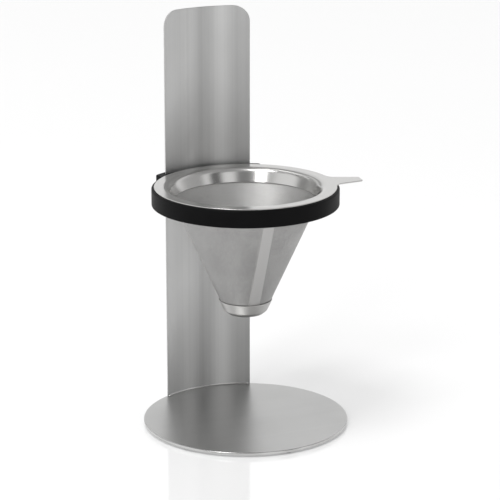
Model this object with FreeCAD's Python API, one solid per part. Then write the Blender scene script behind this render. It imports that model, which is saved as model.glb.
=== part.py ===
import FreeCAD
import Part

import math
import os

from FreeCAD import Vector

# Pour-over coffee maker: a steel stand whose ring slides up and down and carries a permanent filter.
# Millimetres. The origin is at the centre of the base disc's upper face. +Z is up, the upright stands at
# +Y and the user faces the maker from -Y. The filter and the ring share the axis of the base disc.

# Stand
base_diameter = 130.0
base_thickness = 2.0
base_chamfer = 0.4
foot_diameter = 9.0
foot_height = 1.0
foot_chamfer = 0.3
foot_rim_inset = 6.5            # from the rim of the disc to a foot's centre
upright_width = 59.4
upright_height = 254.5          # above the base disc
upright_thickness = 1.2
upright_corner_radius = 10.0
notch_clearance = 0.1           # beside the upright, in the notch of the disc's rim

# Ring that carries the filter, at the height where it is set at rest
seat_height = 151.5             # top of the ring above the base disc
ring_outer_diameter = 117.2
ring_inner_diameter = 102.0
ring_height = 10.8
ring_wall = 2.0
ring_top_thickness = 2.4
ring_chamfer = 0.6
rib_count = 20
rib_thickness = 1.2
rib_recess = 1.5                # ribs stop short of the ring's lower edge
rib_overlap = 0.3               # ribs run this far into the walls that they join

# Slide housing at the back of the ring, with the slot that the upright passes through
housing_wall = 2.1              # behind the slot
housing_back_angle = 33.0       # half angle of the housing's back
housing_root_angle = 38.0       # half angle where it grows out of the ring
housing_corner_radius = 2.5
housing_drop = 1.2              # its top lies this far below the top of the ring
slot_clearance = 0.5
slot_end_clearance = 0.4

# Soft grip pads in the slot
pad_pocket_depth = 1.0
pad_clearance = 0.1             # between a pad and the upright
pad_height = 7.0
pad_start_angle = 6.0           # from the middle of the slot to a pad's near end
pad_sweep_angle = 17.0

# Filter
flange_diameter = 114.0
mouth_diameter = 95.8           # where the lines of the flange and of the cone meet
filter_height = 82.3
cone_half_angle = 24.4
sheet_thickness = 0.8
bend_radius = 5.0               # on the inside of the mouth, where the sheet turns down
collar_depth = 8.8              # solid steel above the mesh
fine_mesh_thickness = 0.25
coarse_mesh_thickness = 0.4
mesh_lap = 4.5                  # the mesh runs this far up outside the collar
band_thickness = 0.5
seam_width = 7.0                # overlap where the rolled mesh is joined to itself
seam_thickness = 0.25
seam_angle = -5.5               # from the front, about the axis
cap_floor_diameter = 22.4
cap_bevel_height = 2.2          # the cap's corner is bevelled from here down to its floor
cap_height = 9.0
cap_thickness = 0.6

# Pull tab on the flange
tab_angle = -11.0               # from +X
tab_reach = 75.0                # from the axis to the end of the tab
tab_end_width = 9.4
tab_root_width = 20.4           # in the middle of the flange
tab_root_radius = 7.0
tab_end_radius = 2.0

# Worked out from the sizes above
base_radius = base_diameter / 2
base_bottom = -base_thickness
table_height = base_bottom - foot_height
upright_back = base_radius                     # flush with the rim of the disc
upright_front = upright_back - upright_thickness
ring_outer = ring_outer_diameter / 2
ring_inner = ring_inner_diameter / 2
ring_bottom = seat_height - ring_height
slot_front = upright_front - slot_clearance
slot_back = upright_back + slot_clearance
slot_half_width = upright_width / 2 + slot_end_clearance
housing_back = slot_back + housing_wall
housing_height = ring_height - housing_drop
flange_top = seat_height + sheet_thickness
flange_radius = flange_diameter / 2
tip_bottom = flange_top - filter_height
collar_bottom = flange_top - collar_depth
mesh_top = collar_bottom + mesh_lap
cap_top = tip_bottom + cap_height
mesh_bottom = tip_bottom + cap_bevel_height + cap_thickness
cone_sine = math.sin(math.radians(cone_half_angle))
cone_cosine = math.cos(math.radians(cone_half_angle))
fine_mesh_inside = sheet_thickness             # offsets of the cone's layers, square to its wall
coarse_mesh_inside = fine_mesh_inside + fine_mesh_thickness
coarse_mesh_outside = coarse_mesh_inside + coarse_mesh_thickness
cap_outside = coarse_mesh_outside + cap_thickness

up = Vector(0, 0, 1)
backwards = Vector(0, 1, 0)     # from the axis to the middle of the upright
centre = Vector(0, 0, 0)
tolerance = 0.01                # for finding edges by where they lie


def side_view(radius, height):
    return Vector(radius, 0, height)


def plan_view(x, y):
    return Vector(x, y, 0)


def polar(radius, angle):
    turn = math.radians(angle)
    return radius * math.cos(turn), radius * math.sin(turn)


def outline(view, start, *steps):
    """A closed face. A step is the next point, or a pair of points that an arc runs through and ends at."""
    edges = []
    here = start
    for step in steps + (start,):
        if isinstance(step[0], tuple):
            through, there = step
            edges.append(Part.Arc(view(*here), view(*through), view(*there)).toShape())
        else:
            there = step
            if there == here:
                continue
            edges.append(Part.LineSegment(view(*here), view(*there)).toShape())
        here = there
    return Part.Face(Part.Wire(edges))


def revolved(start, *steps):
    """A solid of revolution about the axis, from radius and height."""
    return outline(side_view, start, *steps).revolve(centre, up, 360)


def standing(face, bottom, height):
    """A plan-view face raised into a solid that starts at the height bottom."""
    solid = face.extrude(up * height)
    solid.translate(up * bottom)
    return solid


def corner(middle, radius, angle):
    """The point on a rounded corner, seen in section, in the direction angle from the corner's centre."""
    x, y = polar(radius, angle)
    return middle[0] + x, middle[1] + y


def ring_sector(inner, outer, start_angle, end_angle, bottom, height):
    """Part of a ring about the axis, between two angles."""
    middle_angle = (start_angle + end_angle) / 2
    face = outline(
        plan_view,
        polar(inner, start_angle),
        polar(outer, start_angle),
        (polar(outer, middle_angle), polar(outer, end_angle)),
        polar(inner, end_angle),
        (polar(inner, middle_angle), polar(inner, start_angle)),
    )
    return standing(face, bottom, height)


def tube(inner, outer, bottom, height):
    return Part.makeCylinder(outer, height, up * bottom).cut(Part.makeCylinder(inner, height, up * bottom))


def cone_radius(height, offset=0.0):
    """Radius at a height on the cone that lies this far outside the inner face of the filter's collar."""
    return mouth_diameter / 2 - (flange_top - height) * cone_sine / cone_cosine + offset / cone_cosine


def cone_wall(bottom, top, inside, outside):
    """A conical wall about the axis, between two offsets."""
    return revolved(
        (cone_radius(bottom, inside), bottom),
        (cone_radius(bottom, outside), bottom),
        (cone_radius(top, outside), top),
        (cone_radius(top, inside), top),
    )


def reach(edge):
    """Distance of the middle of an edge from the axis."""
    return math.hypot(edge.CenterOfMass.x, edge.CenterOfMass.y)


def rise(edge):
    """How far an edge climbs."""
    return edge.BoundBox.ZLength


def stands_up(edge):
    return rise(edge) > tolerance and abs(rise(edge) - edge.Length) < tolerance


# Stand

def base_plate():
    """The disc, with a notch in its rim that the lower end of the upright fills."""
    disc = revolved(
        (0, base_bottom),
        (base_radius - base_chamfer, base_bottom),
        (base_radius, base_bottom + base_chamfer),
        (base_radius, -base_chamfer),
        (base_radius - base_chamfer, 0),
        (0, 0),
    )
    half = upright_width / 2 + notch_clearance
    window = Part.makeBox(2 * half, base_radius, base_thickness, Vector(-half, 0, base_bottom))
    return disc.cut(tube(upright_front, upright_back, base_bottom, base_thickness).common(window))


def upright():
    """A curved sheet in the rim of the disc, flush with its underside, with rounded top corners."""
    half = upright_width / 2
    shoulder = upright_height - upright_corner_radius
    left = (-half + upright_corner_radius, shoulder)
    right = (half - upright_corner_radius, shoulder)
    front_face = outline(
        side_view,
        (-half, base_bottom),
        (half, base_bottom),
        (half, shoulder),
        (corner(right, upright_corner_radius, 45), (right[0], upright_height)),
        (left[0], upright_height),
        (corner(left, upright_corner_radius, 135), (-half, shoulder)),
    )
    sheet = tube(upright_front, upright_back, base_bottom, upright_height - base_bottom)
    return sheet.common(front_face.extrude(backwards * upright_back))


def foot(angle):
    """A soft disc stuck under the base, with a chamfered lower edge."""
    radius = foot_diameter / 2
    pad = revolved(
        (0, table_height),
        (radius - foot_chamfer, table_height),
        (radius, table_height + foot_chamfer),
        (radius, base_bottom),
        (0, base_bottom),
    )
    pad.translate(plan_view(*polar(base_radius - foot_rim_inset, angle)))
    return pad


# Ring and slide housing

def ring_channel():
    """The ring's moulded section, open below, with its rims broken by chamfers."""
    edge = ring_chamfer
    channel_top = seat_height - ring_top_thickness
    return revolved(
        (ring_outer - ring_wall, ring_bottom),
        (ring_outer - edge, ring_bottom),
        (ring_outer, ring_bottom + edge),
        (ring_outer, seat_height - edge),
        (ring_outer - edge, seat_height),
        (ring_inner + edge, seat_height),
        (ring_inner, seat_height - edge),
        (ring_inner, ring_bottom),
        (ring_inner + ring_wall, ring_bottom),
        (ring_inner + ring_wall, channel_top),
        (ring_outer - ring_wall, channel_top),
    )


def rib(angle):
    """A stiffening web across the channel under the ring."""
    start = ring_inner + ring_wall - rib_overlap
    length = ring_outer - ring_inner - 2 * (ring_wall - rib_overlap)
    bottom = ring_bottom + rib_recess
    height = seat_height - ring_top_thickness + rib_overlap - bottom
    web = Part.makeBox(length, rib_thickness, height, Vector(start, -rib_thickness / 2, bottom))
    web.rotate(centre, up, angle)
    return web


def housing_blank():
    """The housing before it is slotted: it grows out of the ring's wall and follows the upright's curve."""
    root = ring_outer - ring_wall / 2
    face = outline(
        plan_view,
        polar(root, 90 - housing_root_angle),
        polar(housing_back, 90 - housing_back_angle),
        (polar(housing_back, 90), polar(housing_back, 90 + housing_back_angle)),
        polar(root, 90 + housing_root_angle),
        (polar(root, 90), polar(root, 90 - housing_root_angle)),
    )
    block = standing(face, ring_bottom, housing_height)

    back_corners = [
        edge for edge in block.Edges
        if stands_up(edge) and reach(edge) > housing_back - tolerance
    ]
    block = block.makeFillet(housing_corner_radius, back_corners)
    outer_rims = [edge for edge in block.Edges if rise(edge) < tolerance and reach(edge) > ring_outer]
    return block.makeChamfer(ring_chamfer, outer_rims)


def slot():
    sheet = tube(slot_front, slot_back, ring_bottom, ring_height)
    window = Part.makeBox(
        2 * slot_half_width, housing_back, ring_height, Vector(-slot_half_width, 0, ring_bottom)
    )
    return sheet.common(window)


def pad_space(inner, outer, side):
    """The space that a grip pad fills, to the left (-1) or right (+1) of the middle of the slot."""
    near = 90 - side * pad_start_angle
    far = near - side * pad_sweep_angle
    bottom = ring_bottom + (housing_height - pad_height) / 2
    return ring_sector(inner, outer, min(near, far), max(near, far), bottom, pad_height)


def front_pad(side):
    return pad_space(slot_front - pad_pocket_depth, upright_front - pad_clearance, side)


def back_pad(side):
    return pad_space(upright_back + pad_clearance, slot_back + pad_pocket_depth, side)


def holder_ring():
    ring = ring_channel().fuse([rib(index * 360 / rib_count) for index in range(rib_count)])
    ring = ring.fuse(housing_blank()).removeSplitter()
    hollows = [slot()]
    for side in (-1, 1):
        hollows += [front_pad(side), back_pad(side)]
    return ring.cut(hollows)


# Filter

def tab():
    """The flange's pull tab before its corners are rounded."""
    start = (mouth_diameter / 2 + flange_radius) / 2
    root = tab_root_width / 2
    end = tab_end_width / 2
    face = outline(plan_view, (start, -root), (tab_reach, -end), (tab_reach, end), (start, root))
    blank = standing(face, seat_height, sheet_thickness)
    blank.rotate(centre, up, tab_angle)
    return blank


def pressed_dish():
    """Flange, bend and the solid upper part of the cone."""
    bend_inner = bend_radius - sheet_thickness
    bend_centre = (
        mouth_diameter / 2 + bend_radius * (1 - cone_sine) / cone_cosine,
        flange_top - bend_radius,
    )
    to_flange = 90
    to_wall = 180 - cone_half_angle        # from the bend's centre, square on to the wall
    half_way = (to_flange + to_wall) / 2
    return revolved(
        (flange_radius, seat_height),
        (flange_radius, flange_top),
        (bend_centre[0], flange_top),
        (corner(bend_centre, bend_radius, half_way), corner(bend_centre, bend_radius, to_wall)),
        (cone_radius(collar_bottom), collar_bottom),
        (cone_radius(collar_bottom, sheet_thickness), collar_bottom),
        corner(bend_centre, bend_inner, to_wall),
        (corner(bend_centre, bend_inner, half_way), (bend_centre[0], seat_height)),
    )


def filter_collar():
    """The dish and its pull tab, pressed from one sheet."""
    dish = pressed_dish()
    dish.rotate(centre, up, 180)           # the seam of the revolved faces lies away from the tab
    collar = dish.fuse(tab()).removeSplitter()

    def tab_corners(distance):
        return [
            edge for edge in collar.Edges
            if stands_up(edge) and edge.CenterOfMass.x > 0 and abs(reach(edge) - distance) < tolerance
        ]

    collar = collar.makeFillet(tab_root_radius, tab_corners(flange_radius))
    return collar.makeFillet(tab_end_radius, tab_corners(math.hypot(tab_reach, tab_end_width / 2)))


def tip_cap():
    """A pressed cap with a bevelled corner, over the lower end of the meshes."""
    bevel_top = tip_bottom + cap_bevel_height
    plug = revolved(
        (0, tip_bottom),
        (cap_floor_diameter / 2, tip_bottom),
        (cone_radius(bevel_top, cap_outside), bevel_top),
        (cone_radius(cap_top, cap_outside), cap_top),
        (0, cap_top),
    )
    mouth = max(plug.Faces, key=lambda face: face.CenterOfMass.z)
    return plug.makeThickness([mouth], -cap_thickness, tolerance)


def fine_mesh():
    return cone_wall(mesh_bottom, mesh_top, fine_mesh_inside, coarse_mesh_inside)


def coarse_mesh():
    """The carrying mesh, with the raised strip at the front where its two ends overlap."""
    wall = cone_wall(mesh_bottom, mesh_top, coarse_mesh_inside, coarse_mesh_outside)
    overlap = cone_wall(cap_top, collar_bottom, coarse_mesh_inside, coarse_mesh_outside + seam_thickness)
    strip = Part.makeBox(
        seam_width, base_radius, filter_height, Vector(-seam_width / 2, -base_radius, tip_bottom)
    )
    strip.rotate(centre, up, seam_angle)
    return wall.fuse(overlap.common(strip)).removeSplitter()


def mesh_band():
    """A steel band that traps the top of both meshes against the collar."""
    return cone_wall(collar_bottom, mesh_top, coarse_mesh_outside, coarse_mesh_outside + band_thickness)


foot_places = ("front_right", "rear_right", "rear", "rear_left", "front_left", "front")


def pieces():
    """Every piece by its node's name."""
    found = {
        "base_plate": base_plate(),
        "upright": upright(),
        "holder_ring": holder_ring(),
        "grip_pad_front_left": front_pad(-1),
        "grip_pad_front_right": front_pad(1),
        "grip_pad_rear_left": back_pad(-1),
        "grip_pad_rear_right": back_pad(1),
        "filter_collar": filter_collar(),
        "fine_mesh": fine_mesh(),
        "coarse_mesh": coarse_mesh(),
        "mesh_band": mesh_band(),
        "tip_cap": tip_cap(),
    }
    step = 360 / len(foot_places)
    for index, place in enumerate(foot_places):
        found["foot_" + place] = foot(-step / 2 + index * step)
    return found


def main():
    os.makedirs("parts", exist_ok=True)
    for name, shape in pieces().items():
        solids = shape.Solids
        assert shape.isValid() and len(solids) == 1, name
        solids[0].exportStep(os.path.join("parts", name + ".step"))
        print(f"{name}: {solids[0].Volume:.1f} mm3")


main()
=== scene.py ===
import math

import bmesh
import bpy
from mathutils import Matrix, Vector

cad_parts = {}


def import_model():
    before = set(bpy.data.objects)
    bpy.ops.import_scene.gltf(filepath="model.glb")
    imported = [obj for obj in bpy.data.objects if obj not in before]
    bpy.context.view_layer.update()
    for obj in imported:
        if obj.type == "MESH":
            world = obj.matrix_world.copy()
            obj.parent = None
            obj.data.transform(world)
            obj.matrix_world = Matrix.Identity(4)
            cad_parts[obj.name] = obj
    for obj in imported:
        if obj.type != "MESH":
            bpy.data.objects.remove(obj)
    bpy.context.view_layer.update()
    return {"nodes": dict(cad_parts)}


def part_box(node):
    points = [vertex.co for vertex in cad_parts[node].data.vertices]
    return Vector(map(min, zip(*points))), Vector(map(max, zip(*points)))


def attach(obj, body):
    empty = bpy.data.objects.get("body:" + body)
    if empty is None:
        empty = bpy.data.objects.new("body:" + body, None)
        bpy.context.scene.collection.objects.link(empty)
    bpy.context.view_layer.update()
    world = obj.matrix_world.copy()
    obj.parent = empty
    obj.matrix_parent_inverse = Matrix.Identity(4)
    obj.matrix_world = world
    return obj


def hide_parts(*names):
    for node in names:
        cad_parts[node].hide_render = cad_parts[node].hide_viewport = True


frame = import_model()
scene = bpy.context.scene
scene.view_settings.view_transform = "Standard"

mm = 0.001  # shapes below are worked out in millimetres, meshes are in metres
mergeDistance = 1e-7
fullTurn = 2 * math.pi


def nodeBox(node):
    low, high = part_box(node)
    return low / mm, high / mm


discLow, discHigh = nodeBox("base_plate")
plateLow, plateHigh = nodeBox("upright")
ringLow, ringHigh = nodeBox("holder_ring")
collarLow, collarHigh = nodeBox("filter_collar")
capLow, capHigh = nodeBox("tip_cap")
meshLow, meshHigh = nodeBox("coarse_mesh")
footLow, footHigh = nodeBox("foot_rear")


# Small helpers for outlines and meshes

def polar(radius, degrees):
    turn = math.radians(degrees)
    return Vector((radius * math.cos(turn), radius * math.sin(turn)))


def spread(start, end, steps):
    return [start + (end - start) * step / steps for step in range(steps + 1)]


def arcPoints(centre, start, end, steps):  # the shorter way round, both ends included
    first = start - centre
    last = end - centre
    a = math.atan2(first.y, first.x)
    turn = (math.atan2(last.y, last.x) - a + math.pi) % fullTurn - math.pi
    return [centre + polar(first.length, math.degrees(a + t)) for t in spread(0, turn, steps)]


def roundCorners(corners, steps=5, guard=0.0, closed=True):  # corners are (x, y, radius)
    points = []
    count = len(corners)
    for index, (x, y, radius) in enumerate(corners):
        here = Vector((x, y))
        isEnd = not closed and index in (0, count - 1)
        if radius == 0 or isEnd:
            points.append(here)
            continue
        before = (Vector(corners[index - 1][:2]) - here).normalized()
        after = (Vector(corners[(index + 1) % count][:2]) - here).normalized()
        half = before.angle(after) / 2
        reach = radius / math.tan(half)
        centre = here + (before + after).normalized() * (radius / math.sin(half))
        if guard:  # keeps the shading of the flat beside the corner flat
            points.append(here + before * (reach + guard))
        points += arcPoints(centre, here + before * reach, here + after * reach, steps)
        if guard:
            points.append(here + after * (reach + guard))
    return points


def filletCentre(start, along, side, centreRadius, radius):
    # centre of a round that touches a line and a circle about the axis; side points from the line to it
    base = start + side * radius
    middle = -base.dot(along)
    half = math.sqrt(middle ** 2 - base.length_squared + centreRadius ** 2)
    return base + along * (middle + half)


def outwards(points):  # mitred normals of a loop that has the material on its left
    found = []
    for index, here in enumerate(points):
        ahead = (points[(index + 1) % len(points)] - here).normalized()
        behind = (here - points[index - 1]).normalized()
        a = Vector((ahead.y, -ahead.x))
        b = Vector((behind.y, -behind.x))
        found.append((a + b) / (1 + a.dot(b)))
    return found


def softEdge(low, high, radius, guard, steps=4):
    # inset and height of an edge section, from the top face over the rim to the bottom
    top = [(radius + guard, high)]
    for step in range(steps + 1):
        turn = math.pi / 2 * step / steps
        top.append((radius * (1 - math.sin(turn)), high - radius * (1 - math.cos(turn))))
    return top + [(inset, low + high - height) for inset, height in reversed(top)]


class Builder:  # collects a mesh in millimetres
    def __init__(self):
        self.mesh = bmesh.new()

    def row(self, points):
        return [self.mesh.verts.new(Vector(p) * mm) for p in points]

    def strip(self, first, second, closed=True):
        count = len(first)
        for index in range(count if closed else count - 1):
            after = (index + 1) % count
            self.mesh.faces.new((first[index], first[after], second[after], second[index]))

    def strips(self, rows, closed=True, around=False):
        for first, second in zip(rows, rows[1:] + rows[:1] if around else rows[1:]):
            self.strip(first, second, closed)

    def wall(self, loop, edge):  # sweeps an edge section along a loop, gives its top and bottom rows
        normals = outwards(loop)
        rows = []
        for inset, height in edge:
            rows.append(self.row([(*(p - n * inset), height) for p, n in zip(loop, normals)]))
        self.strips(rows)
        return rows[0], rows[-1]

    def cap(self, *loops):  # fills the flat area between loops
        edges = [
            self.mesh.edges.get((here, loop[index - 1])) or self.mesh.edges.new((here, loop[index - 1]))
            for loop in loops for index, here in enumerate(loop)
        ]
        bmesh.ops.triangle_fill(self.mesh, edges=edges, use_beauty=True)

    def piece(self, name, material):
        bmesh.ops.remove_doubles(self.mesh, verts=self.mesh.verts, dist=mergeDistance)
        bmesh.ops.recalc_face_normals(self.mesh, faces=self.mesh.faces)
        data = bpy.data.meshes.new(name)
        self.mesh.to_mesh(data)
        self.mesh.free()
        data.materials.append(material)
        data.shade_smooth()
        made = bpy.data.objects.new(name, data)
        scene.collection.objects.link(made)
        return made


# Node trees

def link(tree, source, target):
    tree.links.new(source, target)


def addNode(tree, kind, **values):
    made = tree.nodes.new(kind)
    for key, value in values.items():
        setattr(made, key, value)
    return made


def calc(tree, operation, *values):
    made = addNode(tree, "ShaderNodeMath", operation=operation)
    for socket, value in zip(made.inputs, values):
        if isinstance(value, bpy.types.NodeSocket):
            link(tree, value, socket)
        else:
            socket.default_value = value
    return made.outputs[0]


def newTree(name, *sockets):
    tree = bpy.data.node_groups.new(name, "GeometryNodeTree")
    for label, kind in sockets:
        tree.interface.new_socket(label, in_out="INPUT", socket_type="NodeSocket" + kind)
    tree.interface.new_socket("Geometry", in_out="OUTPUT", socket_type="NodeSocketGeometry")
    return tree, addNode(tree, "NodeGroupInput"), addNode(tree, "NodeGroupOutput")


def endTree(tree, geometry, material, output):
    real = addNode(tree, "GeometryNodeRealizeInstances")
    finish = addNode(tree, "GeometryNodeSetMaterial")
    link(tree, geometry, real.inputs[0])
    link(tree, real.outputs[0], finish.inputs["Geometry"])
    link(tree, material, finish.inputs["Material"])
    link(tree, finish.outputs[0], output.inputs[0])


def turningTree():  # turns a row of points about Z into a lathe shape
    sockets = (("Profile", "Geometry"), ("Points", "Int"), ("Segments", "Int"), ("Material", "Material"))
    tree, given, output = newTree("turnProfile", *sockets)
    columns = calc(tree, "ADD", given.outputs["Segments"], 1)
    grid = addNode(tree, "GeometryNodeMeshGrid")
    link(tree, given.outputs["Points"], grid.inputs["Vertices X"])
    link(tree, columns, grid.inputs["Vertices Y"])
    index = addNode(tree, "GeometryNodeInputIndex").outputs[0]
    clear = calc(tree, "ADD", index, 0.5)  # keeps the division clear of rounding
    pointIndex = calc(tree, "FLOOR", calc(tree, "DIVIDE", clear, columns))
    columnIndex = calc(tree, "SUBTRACT", index, calc(tree, "MULTIPLY", pointIndex, columns))
    angle = calc(tree, "MULTIPLY", calc(tree, "DIVIDE", columnIndex, given.outputs["Segments"]), fullTurn)
    sample = addNode(tree, "GeometryNodeSampleIndex", data_type="FLOAT_VECTOR")
    link(tree, given.outputs["Profile"], sample.inputs["Geometry"])
    link(tree, addNode(tree, "GeometryNodeInputPosition").outputs[0], sample.inputs["Value"])
    link(tree, pointIndex, sample.inputs["Index"])
    turn = addNode(tree, "ShaderNodeVectorRotate", rotation_type="Z_AXIS")
    link(tree, sample.outputs[0], turn.inputs["Vector"])
    link(tree, angle, turn.inputs["Angle"])
    moved = addNode(tree, "GeometryNodeSetPosition")
    link(tree, grid.outputs["Mesh"], moved.inputs["Geometry"])
    link(tree, turn.outputs[0], moved.inputs["Position"])
    merge = addNode(tree, "GeometryNodeMergeByDistance")
    merge.inputs["Distance"].default_value = mergeDistance
    link(tree, moved.outputs[0], merge.inputs["Geometry"])
    endTree(tree, merge.outputs[0], given.outputs["Material"], output)
    return tree


def roundAboutTree():  # repeats a shape about Z
    sockets = (("Shape", "Geometry"), ("Count", "Int"), ("First Angle", "Float"), ("Material", "Material"))
    tree, given, output = newTree("roundAbout", *sockets)
    points = addNode(tree, "GeometryNodePoints")
    link(tree, given.outputs["Count"], points.inputs["Count"])
    index = addNode(tree, "GeometryNodeInputIndex").outputs[0]
    step = calc(tree, "DIVIDE", fullTurn, given.outputs["Count"])
    angle = calc(tree, "ADD", calc(tree, "MULTIPLY", index, step), given.outputs["First Angle"])
    turn = addNode(tree, "ShaderNodeCombineXYZ")
    link(tree, angle, turn.inputs["Z"])
    copies = addNode(tree, "GeometryNodeInstanceOnPoints")
    link(tree, points.outputs[0], copies.inputs["Points"])
    link(tree, given.outputs["Shape"], copies.inputs["Instance"])
    link(tree, turn.outputs[0], copies.inputs["Rotation"])
    endTree(tree, copies.outputs[0], given.outputs["Material"], output)
    return tree


trees = {"turnProfile": turningTree(), "roundAbout": roundAboutTree()}


def applyTree(piece, treeName, **values):
    tree = trees[treeName]
    modifier = piece.modifiers.new(treeName, "NODES")
    modifier.node_group = tree
    for item in tree.interface.items_tree:
        key = item.name.replace(" ", "")
        if item.in_out == "INPUT" and key in values:
            modifier[item.identifier] = values[key]
    scene.view_layers[0].update()
    ready = piece.evaluated_get(bpy.context.evaluated_depsgraph_get())
    plain = bpy.data.meshes.new_from_object(ready)
    piece.modifiers.clear()
    piece.data = plain
    tidy = bmesh.new()
    tidy.from_mesh(plain)
    bmesh.ops.recalc_face_normals(tidy, faces=tidy.faces)
    tidy.to_mesh(plain)
    tidy.free()
    plain.shade_smooth()
    return piece


def turned(name, profile, material, segments):
    line = bpy.data.meshes.new(name + "Profile")
    line.from_pydata([Vector((p.x, 0, p.y)) * mm for p in profile], [], [])
    made = bpy.data.objects.new(name, line)
    scene.collection.objects.link(made)
    return applyTree(made, "turnProfile", Points=len(profile), Segments=segments, Material=material)


def place(piece, body, slotName, *nodes):
    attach(piece, body)
    if nodes:
        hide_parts(*nodes)
    return piece


# Finishes

def newMaterial(name, **values):
    material = bpy.data.materials.new(name)
    material.use_nodes = True
    tree = material.node_tree
    shader = tree.nodes["Principled BSDF"]
    for key, value in values.items():
        shader.inputs[key].default_value = value
    return material, tree, shader


def objectPlace(tree, scale=(1, 1, 1)):
    coordinates = addNode(tree, "ShaderNodeTexCoord")
    mapping = addNode(tree, "ShaderNodeMapping")
    mapping.inputs["Scale"].default_value = scale
    link(tree, coordinates.outputs["Object"], mapping.inputs["Vector"])
    return mapping.outputs[0]


def sidePlace(tree):  # x and y on the piece
    split = addNode(tree, "ShaderNodeSeparateXYZ")
    link(tree, objectPlace(tree), split.inputs[0])
    return split.outputs["X"], split.outputs["Y"]


def fromAxis(tree, x, y):
    squares = calc(tree, "ADD", calc(tree, "MULTIPLY", x, x), calc(tree, "MULTIPLY", y, y))
    return calc(tree, "SQRT", squares)


def noise(tree, vector, scale, detail=3.0, roughness=0.55):
    made = addNode(tree, "ShaderNodeTexNoise")
    made.inputs["Scale"].default_value = scale
    made.inputs["Detail"].default_value = detail
    made.inputs["Roughness"].default_value = roughness
    link(tree, vector, made.inputs["Vector"])
    return made.outputs["Fac"]


def remap(tree, value, fromLow, fromHigh, toLow, toHigh):
    made = addNode(tree, "ShaderNodeMapRange")
    link(tree, value, made.inputs["Value"])
    limits = {"From Min": fromLow, "From Max": fromHigh, "To Min": toLow, "To Max": toHigh}
    for key, number in limits.items():
        made.inputs[key].default_value = number
    return made.outputs["Result"]


noiseRange = (0.3, 0.7)  # most of a noise lies between these


def sway(tree, value, middle, amount):  # a noise as a small change about a middle
    return remap(tree, value, *noiseRange, middle - amount, middle + amount)


def tones(tree, value, *stops):  # stops are (position, grey) or (position, (r, g, b))
    ramp = addNode(tree, "ShaderNodeValToRGB")
    elements = ramp.color_ramp.elements
    while len(elements) < len(stops):
        elements.new(0.5)
    for element, (position, colour) in zip(elements, stops):
        element.position = position
        rgb = colour if isinstance(colour, tuple) else (colour,) * 3
        element.color = (*rgb, 1)
    link(tree, value, ramp.inputs[0])
    return ramp.outputs["Color"]


def bump(tree, shader, height, distance, strength):
    made = addNode(tree, "ShaderNodeBump")
    made.inputs["Distance"].default_value = distance
    made.inputs["Strength"].default_value = strength
    link(tree, height, made.inputs["Height"])
    link(tree, made.outputs[0], shader.inputs["Normal"])


brushing = {"fineScale": 2600, "fineShare": 0.12, "smudgeScale": 28, "wear": 0.03, "smudge": 0.02,
            "relief": 0.02 * mm, "rimStart": 0.45, "rimEnd": 0.25, "rimShine": 0.22}


def brushedSteel(name, tint, roughness, banding, grain=(1, 1, 1), streaks=60, depth=0.05,
                 smear=0.0, rim=0.0):
    # grain squeezes the noise along the brushing; the bands are soft unevenness of the grain across it, and
    # strong bands, as on the upright, are painted reflection streaks
    material, tree, shader = newMaterial(name, Metallic=1.0, Anisotropic=smear)
    if smear:  # reflections are drawn out upwards
        upwards = addNode(tree, "ShaderNodeCombineXYZ")
        upwards.inputs["Z"].default_value = 1
        link(tree, upwards.outputs[0], shader.inputs["Tangent"])
    along = objectPlace(tree, grain)
    fine = noise(tree, along, brushing["fineScale"], detail=4, roughness=0.65)
    broad = noise(tree, along, streaks, detail=5, roughness=0.62)
    smudge = noise(tree, objectPlace(tree), brushing["smudgeScale"])
    share = brushing["fineShare"]
    mixed = calc(tree, "ADD", calc(tree, "MULTIPLY", fine, share), calc(tree, "MULTIPLY", broad, 1 - share))
    # base colour darker and paler in bands: brushed grain, and on the upright painted reflection streaks
    darker = tuple(c - banding for c in tint)
    paler = tuple(c + banding for c in tint)
    shade = tones(tree, mixed, (noiseRange[0], darker), (noiseRange[1], paler))
    link(tree, shade, shader.inputs["Base Color"])
    worn = sway(tree, fine, roughness, brushing["wear"])
    smudged = sway(tree, smudge, 0, brushing["smudge"])
    rough = calc(tree, "ADD", worn, smudged)
    if rim:  # the edge of the disc is polished
        start, end = (rim - brushing["rimStart"]) * mm, (rim - brushing["rimEnd"]) * mm
        edge = remap(tree, fromAxis(tree, *sidePlace(tree)), start, end, 0, brushing["rimShine"])
        rough = calc(tree, "SUBTRACT", rough, edge)
    link(tree, rough, shader.inputs["Roughness"])
    bump(tree, shader, fine, brushing["relief"], depth)
    return material


coneHalfAngle = 24.4
seam = {"angle": -5.5, "half": 3.5, "rise": 0.25, "edge": 0.3, "inset": 0.2, "columns": 12}
weave = {"coarsePitch": 0.55 * mm, "finePitch": 0.28 * mm, "crimp": 0.3, "wireHeight": 0.22, "relief": 0.6,
         "unevenScale": 45, "uneven": 0.08, "speckleScale": 1300, "speckle": 0.1, "darkAt": 0.1,
         "lightAt": 0.65, "stripGain": 1.2, "hollowRough": 0.1, "wireShine": 0.05}


def stripMask(tree, x, y):  # 1 where the cloth overlaps itself
    ahead = polar(1, seam["angle"] - 90)

    def along(a, b):
        return calc(tree, "ADD", calc(tree, "MULTIPLY", x, a), calc(tree, "MULTIPLY", y, b))

    near = calc(tree, "LESS_THAN", calc(tree, "ABSOLUTE", along(-ahead.y, ahead.x)), seam["half"] * mm)
    return calc(tree, "MULTIPLY", near, calc(tree, "GREATER_THAN", along(ahead.x, ahead.y), 0))


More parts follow.
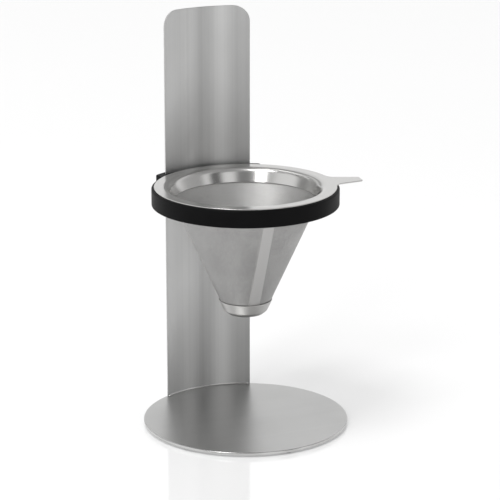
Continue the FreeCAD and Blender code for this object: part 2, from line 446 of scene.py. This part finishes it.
def wovenSteel(name, pitch, light, hollowShade, roughness, strip=0.0):
    # plain weave laid out on the flat sheet that the cone is rolled from, with painted shade in the hollows
    # between its wires
    material, tree, shader = newMaterial(name, Metallic=1.0)
    x, y = sidePlace(tree)
    sine = math.sin(math.radians(coneHalfAngle))
    slant = calc(tree, "DIVIDE", fromAxis(tree, x, y), sine * pitch)
    swing = calc(tree, "MULTIPLY", calc(tree, "ARCTAN2", x, y), sine)
    across = calc(tree, "MULTIPLY", slant, calc(tree, "SINE", swing))
    down = calc(tree, "MULTIPLY", slant, calc(tree, "COSINE", swing))

    def wave(value, turn):
        return calc(tree, "COSINE", calc(tree, "MULTIPLY", value, turn))

    def wire(value):
        return calc(tree, "MULTIPLY_ADD", wave(value, fullTurn), 0.5, 0.5)

    crimp = weave["crimp"]
    over = calc(tree, "MULTIPLY", wave(across, math.pi), wave(down, math.pi))
    warp = calc(tree, "MULTIPLY", wire(across), calc(tree, "MULTIPLY_ADD", over, crimp, 1 - crimp))
    weft = calc(tree, "MULTIPLY", wire(down), calc(tree, "MULTIPLY_ADD", over, -crimp, 1 - crimp))
    height = calc(tree, "MAXIMUM", warp, weft)
    broad = noise(tree, objectPlace(tree), weave["unevenScale"])
    fine = noise(tree, objectPlace(tree), weave["speckleScale"], detail=2)
    uneven = sway(tree, broad, 0, weave["uneven"])
    speckle = sway(tree, fine, 0, weave["speckle"])
    shown = calc(tree, "ADD", calc(tree, "ADD", height, uneven), speckle)
    # the low stop is painted shade in the hollows between the wires, darker than the wire
    stops = [(weave["darkAt"], hollowShade), (weave["lightAt"], light)]
    # on the overlap strip the hollows are filled in and the cloth is painted lighter than bare wire, a
    # painted highlight
    if strip:
        shown = calc(tree, "MAXIMUM", shown, calc(tree, "MULTIPLY", stripMask(tree, x, y), strip))
        stops.append((1, tuple(c * weave["stripGain"] for c in light)))
    link(tree, tones(tree, shown, *stops), shader.inputs["Base Color"])
    rough = remap(tree, height, 0, 1, roughness + weave["hollowRough"], roughness - weave["wireShine"])
    link(tree, rough, shader.inputs["Roughness"])
    bump(tree, shader, height, pitch * weave["wireHeight"], weave["relief"])
    return material


moulding = {"gloss": 0.08, "patchScale": 60, "patchTones": ((0.35, 0.8), (0.65, 1.25)), "grainSway": 0.05,
            "patchSway": 0.03, "relief": 0.5}


def mouldedBlack(name, colour, roughness, grainScale, depth):
    material, tree, shader = newMaterial(name)
    shader.inputs["Specular IOR Level"].default_value = moulding["gloss"]
    grain = noise(tree, objectPlace(tree), grainScale, roughness=0.6)
    patch = noise(tree, objectPlace(tree), moulding["patchScale"])
    stops = [(position, tuple(c * gain for c in colour)) for position, gain in moulding["patchTones"]]
    link(tree, tones(tree, patch, *stops), shader.inputs["Base Color"])
    grained = sway(tree, grain, roughness, moulding["grainSway"])
    patched = sway(tree, patch, 0, moulding["patchSway"])
    link(tree, calc(tree, "ADD", grained, patched), shader.inputs["Roughness"])
    bump(tree, shader, grain, depth, moulding["relief"])
    return material


finishes = {
    # the upright's wide strong bands are painted reflection streaks on top of its brushed grain
    "plate": brushedSteel("standSteelUpright", tint=(0.6, 0.6, 0.595), roughness=0.38, banding=0.09,
                          grain=(1, 1, 0.002), streaks=70, smear=0.86),
    "disc": brushedSteel("standSteelDisc", tint=(0.56, 0.56, 0.555), roughness=0.36, banding=0.012,
                         grain=(0.02, 1, 1), streaks=90, rim=discHigh.x),
    "collar": brushedSteel("filterSteel", tint=(0.6, 0.595, 0.585), roughness=0.2, banding=0.015),
    "cap": brushedSteel("capSteel", tint=(0.52, 0.515, 0.505), roughness=0.38, banding=0.02),
    "weld": brushedSteel("weldSteel", tint=(0.62, 0.62, 0.61), roughness=0.24, banding=0.03,
                         streaks=120, depth=0.12),
    # the dark tones of both cloths are painted shade seen through their holes
    "coarse": wovenSteel("meshSteelOuter", weave["coarsePitch"], light=(0.472, 0.467, 0.462),
                         hollowShade=(0.1, 0.1, 0.1), roughness=0.42, strip=0.85),
    "fine": wovenSteel("meshSteelInner", weave["finePitch"], light=(0.61, 0.605, 0.595),
                       hollowShade=(0.3, 0.3, 0.3), roughness=0.38),
    "ring": mouldedBlack("holderPlastic", colour=(0.004, 0.004, 0.0043), roughness=0.5,
                         grainScale=1400, depth=0.07 * mm),
    "foot": mouldedBlack("footRubber", colour=(0.03, 0.03, 0.03), roughness=0.75,
                         grainScale=1800, depth=0.05 * mm),
    "pad": mouldedBlack("padRubber", colour=(0.024, 0.024, 0.024), roughness=0.8,
                        grainScale=1800, depth=0.05 * mm),
}
print("finishes made:", len(finishes))


# Stand

disc = {"edgeRadius": 0.4, "guard": 0.2, "notchGap": 0.1, "rimSteps": 260, "notchSteps": 40}
plate = {"thickness": 1.2, "cornerRadius": 10.0, "edgeRadius": 0.22, "guard": 0.25, "columns": 56,
         "rows": 24, "cornerRows": 12}
discRadius = discHigh.x
plateHalf = plateHigh.x
plateBack = discRadius
plateFront = plateBack - plate["thickness"]


def baseDisc():
    half = plateHalf + disc["notchGap"]
    rimAngle = math.degrees(math.acos(half / discRadius))
    notchAngle = math.degrees(math.acos(half / plateFront))
    rim = [polar(discRadius, a) for a in spread(180 - rimAngle, 360 + rimAngle, disc["rimSteps"])]
    notch = [polar(plateFront, a) for a in spread(notchAngle, 180 - notchAngle, disc["notchSteps"])]
    build = Builder()
    edge = softEdge(discLow.z, discHigh.z, disc["edgeRadius"], disc["guard"])
    top, bottom = build.wall(rim + notch, edge)
    build.cap(top)
    build.cap(bottom)
    return build.piece("baseDisc", finishes["disc"])


def uprightSheet():
    # a grid on the front and one on the back, joined round the rim by a soft edge
    inset = plate["edgeRadius"] + plate["guard"]
    radius = plate["cornerRadius"]
    shoulder = plateHigh.z - radius
    straight = plateHalf - radius
    heights = spread(plateLow.z + inset, shoulder, plate["rows"])
    quarter = spread(0, math.pi / 2, plate["cornerRows"])[1:]
    heights += [shoulder + (radius - inset) * math.sin(t) for t in quarter]

    def halfWidth(height):
        above = max(0.0, height - shoulder)
        return straight + math.sqrt(max(0.0, (radius - inset) ** 2 - above ** 2))

    def normal(x, z, column, row):
        side = -1 if column == 0 else 1 if column == plate["columns"] else 0
        if row == 0:
            return Vector((side, -1))
        if z > shoulder and side:
            return Vector((abs(x) - straight, z - shoulder)).normalized() * Vector((side, 1))
        if row == len(heights) - 1:
            return Vector((0, 1))
        return Vector((side, 0))

    flat = []
    for z in heights:
        flat.append([Vector((f * halfWidth(z), z)) for f in spread(-1, 1, plate["columns"])])
    last = len(heights) - 1
    ends = plate["columns"]
    rim = [(0, c) for c in range(ends)] + [(r, ends) for r in range(last)]
    rim += [(last, c) for c in range(ends, 0, -1)] + [(r, 0) for r in range(last, 0, -1)]

    def bent(point, depth):
        r = plateFront + depth
        return point.x, math.sqrt(r ** 2 - point.x ** 2), point.y

    build = Builder()
    faces = {}
    for depth in (0, plate["thickness"]):
        rows = [build.row([bent(p, depth) for p in line]) for line in flat]
        build.strips(rows, closed=False)
        faces[depth] = [rows[r][c] for r, c in rim]
    edge = softEdge(0, plate["thickness"], plate["edgeRadius"], plate["guard"])
    loops = [faces[plate["thickness"]]]
    for step, depth in edge[1:-1]:
        line = []
        for r, c in rim:
            point = flat[r][c]
            direction = normal(point.x, point.y, c, r)
            line.append(bent(point + direction * (inset - step), depth))
        loops.append(build.row(line))
    loops.append(faces[0])
    build.strips(loops)
    return build.piece("uprightSheet", finishes["plate"])


weld = {"leg": 0.8, "root": 0.5, "steps": 6, "columns": 60, "endGap": 1.0}


def weldFillet():  # the ground weld in the corner between disc and upright
    leg, root = weld["leg"], weld["root"]
    level = discHigh.z
    section = [Vector((plateFront + root, level + leg)), Vector((plateFront, level + leg))]
    hollow = Vector((plateFront - leg, level + leg))
    section += arcPoints(hollow, section[1], Vector((plateFront - leg, level)), weld["steps"])[1:]
    section += [Vector((plateFront - leg, level - root)), Vector((plateFront + root, level - root))]
    reach = math.degrees(math.asin((plateHalf - weld["endGap"]) / plateFront))
    build = Builder()
    rows = []
    for angle in spread(90 - reach, 90 + reach, weld["columns"]):
        rows.append(build.row([(*polar(p.x, angle), p.y) for p in section]))
    build.strips(rows)
    build.mesh.faces.new(rows[0])
    build.mesh.faces.new(rows[-1])
    return build.piece("weldFillet", finishes["weld"])


feet = {"places": ("front_right", "rear_right", "rear", "rear_left", "front_left", "front"),
        "firstAngle": -30.0, "edgeRadius": 0.35, "guard": 0.1, "segments": 48}


def softFeet():
    radius = (footHigh.x - footLow.x) / 2
    middle = (footHigh.y + footLow.y) / 2
    profile = roundCorners([
        (0, footLow.z, 0),
        (radius, footLow.z, feet["edgeRadius"]),
        (radius, footHigh.z, 0),
        (0, footHigh.z, 0),
    ], guard=feet["guard"])
    foot = turned("softFeet", profile + profile[:1], finishes["foot"], feet["segments"])
    for vertex in foot.data.vertices:
        vertex.co.x += middle * mm
    first = math.radians(feet["firstAngle"])
    count = len(feet["places"])
    return applyTree(foot, "roundAbout", Count=count, FirstAngle=first, Material=finishes["foot"])


place(baseDisc(), "stand", "stand_steel", "base_plate")
place(uprightSheet(), "stand", "stand_steel", "upright")
place(weldFillet(), "stand", "stand_steel")
place(softFeet(), "stand", "foot_rubber", *["foot_" + name for name in feet["places"]])
print("stand made")


# Ring with its slide housing

ring = {"boreRadius": 51.0, "wall": 2.0, "topThickness": 2.4, "edgeRadius": 0.7, "lip": 0.3, "guard": 0.2,
        "segments": 240, "ribs": 20, "ribThickness": 1.2, "ribRecess": 1.5, "ribOverlap": 0.2,
        "ribEdge": 0.2, "ribGuard": 0.05, "ribEdgeSteps": 2}
housing = {"drop": 1.2, "lift": 0.02, "backAngle": 33.0, "rootAngle": 38.0, "cornerRadius": 2.5,
           "rootRadius": 1.6, "cornerSteps": 8, "embed": 0.8, "edgeRadius": 0.6, "guard": 0.2, "steps": 60,
           "slotClearance": 0.5, "slotEndClearance": 0.4, "slotEdge": 0.3, "slotGuard": 0.1}
ringRadius = -ringLow.y


def holderRing():  # a moulded channel, open below
    low, high = ringLow.z, ringHigh.z
    bore, wall, lip = ring["boreRadius"], ring["wall"], ring["lip"]
    ceiling = high - ring["topThickness"]
    profile = roundCorners([
        (ringRadius, low, ring["edgeRadius"]),
        (ringRadius, high, ring["edgeRadius"]),
        (bore, high, ring["edgeRadius"]),
        (bore, low, lip),
        (bore + wall, low, lip),
        (bore + wall, ceiling, lip),
        (ringRadius - wall, ceiling, lip),
        (ringRadius - wall, low, lip),
    ], guard=ring["guard"])
    return turned("holderRing", profile + profile[:1], finishes["ring"], ring["segments"])


def housingOutline():
    back = ringHigh.y
    start = polar(ringRadius - ring["wall"] / 2, 90 - housing["rootAngle"])
    end = polar(back, 90 - housing["backAngle"])
    along = (end - start).normalized()
    outside = Vector((along.y, -along.x))
    root = filletCentre(start, along, outside, ringRadius + housing["rootRadius"], housing["rootRadius"])
    corner = filletCentre(start, along, -outside, back - housing["cornerRadius"], housing["cornerRadius"])
    rootStart = root.normalized() * ringRadius
    cornerEnd = corner.normalized() * back
    steps = housing["cornerSteps"]
    right = arcPoints(root, rootStart, root - outside * housing["rootRadius"], steps)
    right += arcPoints(corner, corner + outside * housing["cornerRadius"], cornerEnd, steps)
    left = [Vector((-p.x, p.y)) for p in reversed(right)]
    backAngle = math.degrees(math.atan2(cornerEnd.y, cornerEnd.x))
    rootAngle = math.degrees(math.atan2(rootStart.y, rootStart.x))
    across = [polar(back, a) for a in spread(backAngle, 180 - backAngle, housing["steps"])[1:-1]]
    sunk = ringRadius - housing["embed"]
    inside = [polar(sunk, a) for a in spread(180 - rootAngle, rootAngle, housing["steps"])]
    return right + across + left + inside


def slotOutline():  # clockwise, so that its walls face the opening
    inner = plateFront - housing["slotClearance"]
    outer = plateBack + housing["slotClearance"]
    half = plateHalf + housing["slotEndClearance"]
    innerAngle = math.degrees(math.acos(half / inner))
    outerAngle = math.degrees(math.acos(half / outer))
    front = [polar(inner, a) for a in spread(innerAngle, 180 - innerAngle, housing["steps"])]
    back = [polar(outer, a) for a in spread(180 - outerAngle, outerAngle, housing["steps"])]
    return front + back


def slideHousing():  # its front is sunk in the wall of the ring
    low, high = ringLow.z + housing["lift"], ringHigh.z - housing["drop"]
    edge = softEdge(low, high, housing["edgeRadius"], housing["guard"])
    slotEdge = softEdge(low, high, housing["slotEdge"], housing["slotGuard"])
    build = Builder()
    top, bottom = build.wall(housingOutline(), edge)
    slotTop, slotBottom = build.wall(slotOutline(), slotEdge)
    build.cap(top, slotTop)
    build.cap(bottom, slotBottom)
    return build.piece("slideHousing", finishes["ring"])


def ringRibs():
    inner = ring["boreRadius"] + ring["wall"] - ring["ribOverlap"]
    outer = ringRadius - ring["wall"] + ring["ribOverlap"]
    low = ringLow.z + ring["ribRecess"]
    high = ringHigh.z - ring["topThickness"] + ring["ribOverlap"]
    half = ring["ribThickness"] / 2
    outline = [Vector((inner, -half)), Vector((outer, -half)), Vector((outer, half)), Vector((inner, half))]
    edge = softEdge(low, high, ring["ribEdge"], ring["ribGuard"], ring["ribEdgeSteps"])
    build = Builder()
    top, bottom = build.wall(outline, edge)
    build.mesh.faces.new(top)
    build.mesh.faces.new(bottom)
    rib = build.piece("ringRibs", finishes["ring"])
    return applyTree(rib, "roundAbout", Count=ring["ribs"], FirstAngle=0.0, Material=finishes["ring"])


place(holderRing(), "holder", "holder_plastic", "holder_ring")
place(slideHousing(), "holder", "holder_plastic")
place(ringRibs(), "holder", "holder_plastic")
for name in ("front_left", "front_right", "rear_left", "rear_right"):
    pad = frame["nodes"]["grip_pad_" + name]
    pad.data.materials.clear()
    pad.data.materials.append(finishes["pad"])
print("holder made")


# Filter

cone = {"mouthRadius": 47.9, "sheet": 0.8, "fine": 0.25, "coarse": 0.4, "band": 0.5, "cap": 0.6,
        "segments": 192}
tab = {"angle": -11.0, "reach": 75.0, "endWidth": 9.4, "rootWidth": 20.4, "rootRadius": 7.0,
       "endRadius": 2.0, "steps": 16, "endSteps": 8, "guard": 0.3}
flange = {"bendRadius": 5.0, "bendSteps": 14, "edgeRadius": 0.25, "lip": 0.12, "guard": 0.15,
          "segments": 300, "wallSteps": 3, "wallStart": 0.6, "wallEnd": 0.3}
flangeRadius = -collarLow.x
flangeTop = collarHigh.z
flangeBottom = flangeTop - cone["sheet"]
collarBottom = collarLow.z
slope = math.tan(math.radians(coneHalfAngle))
lean = math.cos(math.radians(coneHalfAngle))


def coneRadius(height, offset=0.0):
    return cone["mouthRadius"] - (flangeTop - height) * slope + offset / lean


fineInside = cone["sheet"]
coarseInside = fineInside + cone["fine"]
coarseOutside = coarseInside + cone["coarse"]
capOutside = coarseOutside + cone["cap"]


def flangeOutline():  # the round flange with its pull tab, from the tab's far side round to its near side
    middle = (cone["mouthRadius"] + flangeRadius) / 2
    start = Vector((middle, tab["rootWidth"] / 2))
    end = Vector((tab["reach"], tab["endWidth"] / 2))
    along = (end - start).normalized()
    outside = Vector((-along.y, along.x))
    root = filletCentre(start, along, outside, flangeRadius + tab["rootRadius"], tab["rootRadius"])
    leave = root.normalized() * flangeRadius
    meet = root - outside * tab["rootRadius"]
    steps = tab["steps"]
    ends = [(*meet, 0), (*end, tab["endRadius"]), (end.x, 0, 0)]
    corner = roundCorners(ends, tab["endSteps"], tab["guard"], closed=False)
    side = arcPoints(root, leave, meet, steps)
    side += [meet.lerp(corner[1], t) for t in spread(0, 1, steps)[1:-1]] + corner[1:]
    mirrored = [Vector((p.x, -p.y)) for p in side[:-1]]
    angle = math.degrees(math.atan2(leave.y, leave.x))
    rim = [polar(flangeRadius, a) for a in spread(angle, 360 - angle, flange["segments"])[1:-1]]
    turn = math.radians(tab["angle"])
    cosine, sine = math.cos(turn), math.sin(turn)
    loop = rim + mirrored + list(reversed(side))
    return [Vector((p.x * cosine - p.y * sine, p.x * sine + p.y * cosine)) for p in loop]


def filterCollar():
    rim = flangeOutline()
    normals = outwards(rim)
    angles = [math.degrees(math.atan2(p.y, p.x)) for p in rim]
    lip = flange["lip"]
    build = Builder()

    def latheRow(point):
        return build.row([(*polar(point.x, a), point.y) for a in angles])

    outer = flange["bendRadius"]
    bendX = cone["mouthRadius"] + outer * (1 - math.sin(math.radians(coneHalfAngle))) / lean
    bend = Vector((bendX, flangeTop - outer))
    toWall = polar(1, 180 - coneHalfAngle)

    def bendPoints(radius):  # from the wall up on to the flange
        return arcPoints(bend, bend + toWall * radius, bend + Vector((0, radius)), flange["bendSteps"])

    def wallPoints(radius, offset):  # up the wall, with close rows at both ends to keep it flat
        top = (bend + toWall * radius).y
        heights = [collarBottom + lip, collarBottom + 2 * lip]
        heights += spread(collarBottom + flange["wallStart"], top - flange["wallEnd"], flange["wallSteps"])
        return [Vector((coneRadius(h, offset), h)) for h in heights]

    inside = wallPoints(outer, 0) + bendPoints(outer)
    rows = [latheRow(p) for p in inside]
    flatStart = bendX + flange["guard"]
    flatRim = [polar(flatStart, a) for a in angles]
    rows.append(build.row([(*p, flangeTop) for p in flatRim]))
    for inset, height in softEdge(flangeBottom, flangeTop, flange["edgeRadius"], flange["guard"]):
        rows.append(build.row([(*(p - n * inset), height) for p, n in zip(rim, normals)]))
    rows.append(build.row([(*p, flangeBottom) for p in flatRim]))
    inner = outer - cone["sheet"]
    under = wallPoints(inner, cone["sheet"]) + bendPoints(inner)
    rows += [latheRow(p) for p in reversed(under)]
    for offset in (cone["sheet"] - lip, cone["sheet"] - 2 * lip, 2 * lip, lip):
        rows.append(latheRow(Vector((coneRadius(collarBottom, offset), collarBottom))))
    build.strips(rows, around=True)
    return build.piece("filterCollar", finishes["collar"])


cloth = {"columns": 180, "rows": 14, "firstGap": 0.05, "secondGap": 0.4, "thirdGap": 2.0}


def outerMesh():  # rolled wire cloth, with the raised strip at the front where its ends overlap
    half = seam["half"]
    soft = seam["edge"]
    flat = spread(-half + seam["inset"], half - seam["inset"], seam["columns"])
    strip = [-half - soft, -half - soft / 2, -half, *flat, half, half + soft / 2, half + soft]
    front = seam["angle"] - 90
    low, high = capHigh.z, collarBottom
    first, second, third = cloth["firstGap"], cloth["secondGap"], cloth["thirdGap"]
    levels = [meshLow.z, low + first, low + second]
    levels += spread(low + third, high - third, cloth["rows"])
    levels += [high - second, high - first, meshHigh.z]

    def rise(s, level):
        if level < 2 or level > len(levels) - 3:  # flat inside the cap and the band
            return 0.0
        past = max(0.0, abs(s) - half) / soft
        return seam["rise"] * (1 - past * past * (3 - 2 * past))

    build = Builder()
    outer = []
    inner = []
    for level, height in enumerate(levels):
        radius = coneRadius(height, coarseOutside)
        reach = strip[-1] / radius
        rest = spread(reach, fullTurn - reach, cloth["columns"])[1:-1]
        headings = [front + math.degrees(a) for a in [s / radius for s in strip] + rest]
        rises = [rise(s, level) for s in strip] + [0.0] * len(rest)
        raised = zip(headings, rises)
        outer.append(build.row([(*polar(radius + up / lean, h), height) for h, up in raised]))
        radius = coneRadius(height, coarseInside)
        inner.append(build.row([(*polar(radius, h), height) for h in headings]))
    build.strips(outer + list(reversed(inner)), around=True)
    return build.piece("outerMesh", finishes["coarse"])


shell = {"clothEdge": 0.05, "bandEdge": 0.15, "edgeSteps": 3, "guard": 0.1}


def coneShell(name, low, high, inside, outside, edge, material):
    profile = roundCorners([
        (coneRadius(low, inside), low, edge),
        (coneRadius(low, outside), low, edge),
        (coneRadius(high, outside), high, edge),
        (coneRadius(high, inside), high, edge),
    ], shell["edgeSteps"], shell["guard"])
    return turned(name, profile + profile[:1], material, cone["segments"])


cap = {"floorRadius": 11.2, "bevelHeight": 2.2, "floorRound": 0.9, "bevelRound": 1.6, "lip": 0.2,
       "insideRise": 0.7, "insideInset": 0.3, "roundSteps": 6, "guard": 0.15}


def tipCap():
    low, high = capLow.z, capHigh.z
    thick = cone["cap"]
    bevelTop = low + cap["bevelHeight"]
    insideTop = bevelTop + thick * cap["insideRise"]
    profile = roundCorners([
        (0, low, 0),
        (cap["floorRadius"], low, cap["floorRound"] + thick),
        (coneRadius(bevelTop, capOutside), bevelTop, cap["bevelRound"] + thick),
        (coneRadius(high, capOutside), high, cap["lip"]),
        (coneRadius(high, coarseOutside), high, cap["lip"] / 2),
        (coneRadius(insideTop, coarseOutside), insideTop, cap["bevelRound"]),
        (cap["floorRadius"] - thick * cap["insideInset"], low + thick, cap["floorRound"]),
        (0, low + thick, 0),
    ], cap["roundSteps"], cap["guard"])
    return turned("tipCap", profile, finishes["cap"], cone["segments"])


def innerMesh():
    edge = shell["clothEdge"]
    return coneShell("innerMesh", meshLow.z, meshHigh.z, fineInside, coarseInside, edge, finishes["fine"])


def meshBand():
    outside = coarseOutside + cone["band"]
    edge = shell["bandEdge"]
    return coneShell("meshBand", collarBottom, meshHigh.z, coarseOutside, outside, edge, finishes["collar"])


place(filterCollar(), "filter", "filter_steel", "filter_collar")
place(outerMesh(), "filter", "mesh_steel", "coarse_mesh")
place(innerMesh(), "filter", "mesh_steel", "fine_mesh")
place(meshBand(), "filter", "filter_steel", "mesh_band")
place(tipCap(), "filter", "filter_steel", "tip_cap")
print("filter made")


# Floor, light and camera

studio = {"floorHalf": 14.0, "floorGap": 0.02, "floorTone": 0.86, "floorRoughness": 0.06, "floorGloss": 0.85,
          "floorLift": 0.22, "lowTone": 0.92, "topTone": 0.42,
          # sines of the heights over which the low tone gives way to the walls, and they to the ceiling
          "lowToWalls": (0.08, 0.15), "wallsToTop": (0.6, 0.78),
          # tones of the walls by heading, in degrees to the right of the front
          "walls": ((-180, 0.3), (-168, 0.95), (-140, 0.95), (-126, 0.55), (-112, 1.05), (-80, 0.95),
                    (-60, 0.22), (-13, 0.24), (-5, 0.98), (12, 0.98), (21, 0.13), (34, 0.13), (39, 1.0),
                    (45, 1.0), (54, 0.45), (85, 0.55), (100, 0.95), (116, 0.95), (126, 0.3), (138, 0.95),
                    (172, 0.95), (180, 0.3))}
lamps = {"key": {"place": (-0.95, -0.35, 2.5), "watts": 24.0, "width": 0.9, "height": 0.9},
         "glint": {"place": (-1.93, -1.48, 2.02), "watts": 12.0, "width": 0.65, "height": 0.9}}
lampAim = (0, 0, 0.15)


def floor():
    half = studio["floorHalf"]
    z = (footLow.z - studio["floorGap"]) * mm
    corners = [(-half, -half, z), (half, -half, z), (half, half, z), (-half, half, z)]
    data = bpy.data.meshes.new("floor")
    data.from_pydata(corners, [], [(0, 1, 2, 3)])
    material, tree, shader = newMaterial("paleFloor", Roughness=studio["floorRoughness"])
    shader.inputs["Base Color"].default_value = (*(studio["floorTone"],) * 3, 1)
    shader.inputs["Specular IOR Level"].default_value = studio["floorGloss"]
    rays = addNode(tree, "ShaderNodeLightPath").outputs
    mirrored = calc(tree, "MAXIMUM", rays["Is Glossy Ray"], rays["Is Transmission Ray"])
    seen = calc(tree, "MAXIMUM", rays["Is Camera Ray"], mirrored)
    shader.inputs["Emission Color"].default_value = (1, 1, 1, 1)
    link(tree, calc(tree, "MULTIPLY", seen, studio["floorLift"]), shader.inputs["Emission Strength"])
    data.materials.append(material)
    made = bpy.data.objects.new("floor", data)
    scene.collection.objects.link(made)


def world():  # a pale studio with a darker ceiling, and soft upright strips on its walls
    made = bpy.data.worlds.new("studio")
    made.use_nodes = True
    scene.world = made
    tree = made.node_tree
    background = tree.nodes["Background"]
    direction = addNode(tree, "ShaderNodeTexCoord").outputs["Generated"]

    def towards(way):
        made = addNode(tree, "ShaderNodeVectorMath", operation="DOT_PRODUCT")
        made.inputs[1].default_value = Vector(way).normalized()
        link(tree, direction, made.inputs[0])
        return made.outputs["Value"]

    def blend(factor, first, second):  # first and second are colours from nodes or plain greys
        made = addNode(tree, "ShaderNodeMix", data_type="RGBA")
        link(tree, factor, made.inputs["Factor"])
        for key, tone in (("A", first), ("B", second)):
            socket = next(s for s in made.inputs if s.name == key and s.type == "RGBA")
            if isinstance(tone, bpy.types.NodeSocket):
                link(tree, tone, socket)
            else:
                socket.default_value = (tone, tone, tone, 1)
        return next(s for s in made.outputs if s.type == "RGBA")

    height = towards((0, 0, 1))
    heading = calc(tree, "ARCTAN2", towards((1, 0, 0)), towards((0, -1, 0)))
    walls = tones(tree, remap(tree, heading, -math.pi, math.pi, 0, 1),
                  *[(0.5 + angle / 360, tone) for angle, tone in studio["walls"]])
    sides = blend(remap(tree, height, *studio["lowToWalls"], 0, 1), studio["lowTone"], walls)
    around = blend(remap(tree, height, *studio["wallsToTop"], 0, 1), sides, studio["topTone"])
    link(tree, around, background.inputs["Color"])


def lamp(name):  # a soft panel facing the object
    panel = lamps[name]
    data = bpy.data.lights.new(name, "AREA")
    data.energy = panel["watts"]
    data.shape = "RECTANGLE"
    data.size = panel["width"]
    data.size_y = panel["height"]
    made = bpy.data.objects.new(name, data)
    made.location = panel["place"]
    made.rotation_euler = (Vector(lampAim) - made.location).to_track_quat("-Z", "Y").to_euler()
    scene.collection.objects.link(made)


view = {"place": (-0.5913, -1.2589, 0.5089), "pitch": 15.974, "heading": 25.273, "lens": 166.25,
        "sensor": 36, "clipStart": 0.05}


def camera():
    data = bpy.data.cameras.new("camera")
    data.lens = view["lens"]
    data.sensor_width = view["sensor"]
    data.clip_start = view["clipStart"]
    made = bpy.data.objects.new("camera", data)
    made.location = view["place"]
    made.rotation_euler = (math.radians(90 - view["pitch"]), 0, math.radians(-view["heading"]))
    scene.collection.objects.link(made)
    scene.camera = made


floor()
world()
for name in lamps:
    lamp(name)
camera()
print("stage made")
